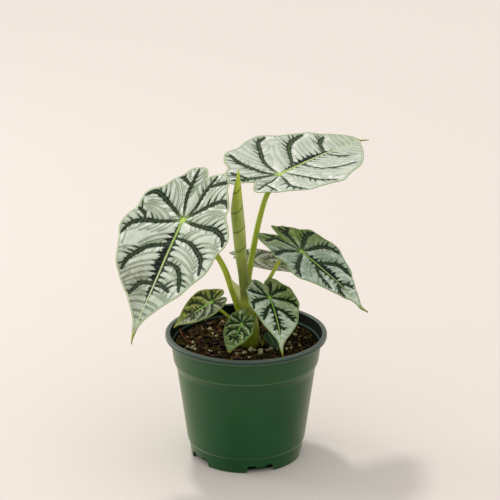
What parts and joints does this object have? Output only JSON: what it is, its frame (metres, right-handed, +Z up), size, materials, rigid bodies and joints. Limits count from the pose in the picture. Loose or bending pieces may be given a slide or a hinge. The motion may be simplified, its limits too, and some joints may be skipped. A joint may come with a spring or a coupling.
{
  "type": "potted dragon scale alocasia",
  "caption": "Potted aroid plant with silver, dark-veined shield leaves on green stems, in soil in a round plastic nursery pot with a notched foot.",
  "frame": {"origin": "middle of the pot's flat base, on the surface that it stands on", "axes": "+Z up, +X to the right and +Y away from the front of the pot"},
  "size_m": [0.1679, 0.1461, 0.2079],
  "materials": {
    "silver_leaf": "satin",
    "olive_leaf": "satin",
    "stem_green": "satin",
    "soil_brown": "matte",
    "pot_green": "satin"
  },
  "bodies": {
    "root": {"leaf_large_left": "silver_leaf", "leaf_large_right": "silver_leaf", "leaf_right": "silver_leaf", "leaf_front": "silver_leaf", "leaf_small_front": "olive_leaf", "leaf_small_left": "olive_leaf", "leaf_back": "silver_leaf", "leaf_seedling": "olive_leaf", "leaf_rolled_new": "stem_green", "stem_large_left": "stem_green", "stem_large_right": "stem_green", "stem_right": "stem_green", "stem_front": "stem_green", "stem_small_front": "stem_green", "stem_small_left": "stem_green", "stem_back": "stem_green", "stem_seedling": "stem_green", "crown": "stem_green", "sprout": "stem_green", "soil": "soil_brown", "pot": "pot_green"}
  },
  "joints": []
}
